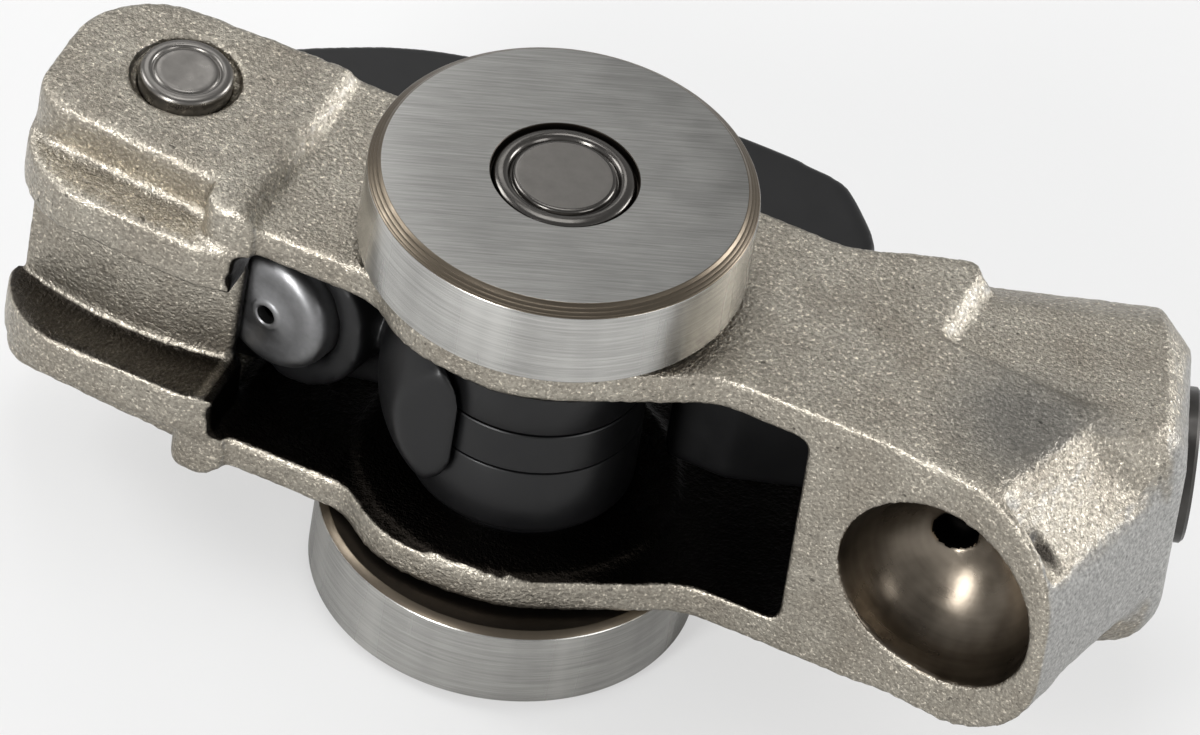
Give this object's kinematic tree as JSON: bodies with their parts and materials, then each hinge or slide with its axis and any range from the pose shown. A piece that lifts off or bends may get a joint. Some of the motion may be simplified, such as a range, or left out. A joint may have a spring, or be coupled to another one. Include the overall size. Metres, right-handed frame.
{
  "type": "rocker arm",
  "caption": "Switching roller finger follower: cast steel body with twin outer rollers, black centre slider arm, hub in a window, spring cup, ball socket and inclined latch boss.",
  "frame": {"origin": "on the roller axle, half way between the two rollers", "axes": "+X towards the ball socket, +Y towards the camshaft, +Z along the roller axle"},
  "size_m": [0.0517, 0.0235, 0.0238],
  "materials": {
    "cast_steel": "investment-cast grain, warm nickel grey",
    "black_coating": "matt black hard coating",
    "pin_steel": "polished and staked",
    "ground_steel": "ground, fine straight lines",
    "black_bearing": "satin black",
    "dark_washer": "dark hardened",
    "drawn_steel": "satin drawn",
    "spring_steel": "shot peened",
    "dark_plug": "dark satin"
  },
  "bodies": {
    "body": {"follower_body": "cast_steel", "hinge_pin": "pin_steel", "bearing_ring_upper": "black_bearing", "bearing_ring_lower": "black_bearing", "hub_spacer": "black_bearing", "needles_upper": "ground_steel", "needles_lower": "ground_steel", "thrust_washer_upper": "dark_washer", "thrust_washer_lower": "dark_washer", "latch_plug": "dark_plug", "latch_spring": "spring_steel"},
    "spool": {"roller_shaft": "pin_steel", "roller_upper": "ground_steel", "roller_lower": "ground_steel"},
    "arm": {"slider_arm": "black_coating", "lost_motion_spring": "spring_steel"},
    "cup": {"spring_cup": "drawn_steel"},
    "latch": {"latch_pin": "pin_steel"}
  },
  "joints": [
    {"name": "roller_spin", "type": "hinge", "parent": "body", "child": "spool", "pos_m": [0, 0, 0], "axis": [0, 0, 1], "continuous": true},
    {"name": "arm_swing", "type": "hinge", "parent": "body", "child": "arm", "pos_m": [-0.0181, 0.001, 0], "axis": [0, 0, -1], "range_deg": [0, 11], "stiffness_Nm_per_rad": 2, "springref_deg": -8.59, "deforming": ["lost_motion_spring"]},
    {"name": "cup_slide", "type": "slide", "parent": "arm", "child": "cup", "axis": [0.2215, 0.9751, 0], "range_m": [0, 0.0013]},
    {"name": "latch_slide", "type": "slide", "parent": "body", "child": "latch", "axis": [-0.9272, -0.3746, 0], "range_m": [0, 0.0023], "stiffness_N_per_m": 500, "springref_m": -0.002, "deforming": ["latch_spring"]}
  ],
  "couplings": [
    {"joint": "cup_slide", "follows": "arm_swing", "m_per_rad": 0.0062}
  ]
}
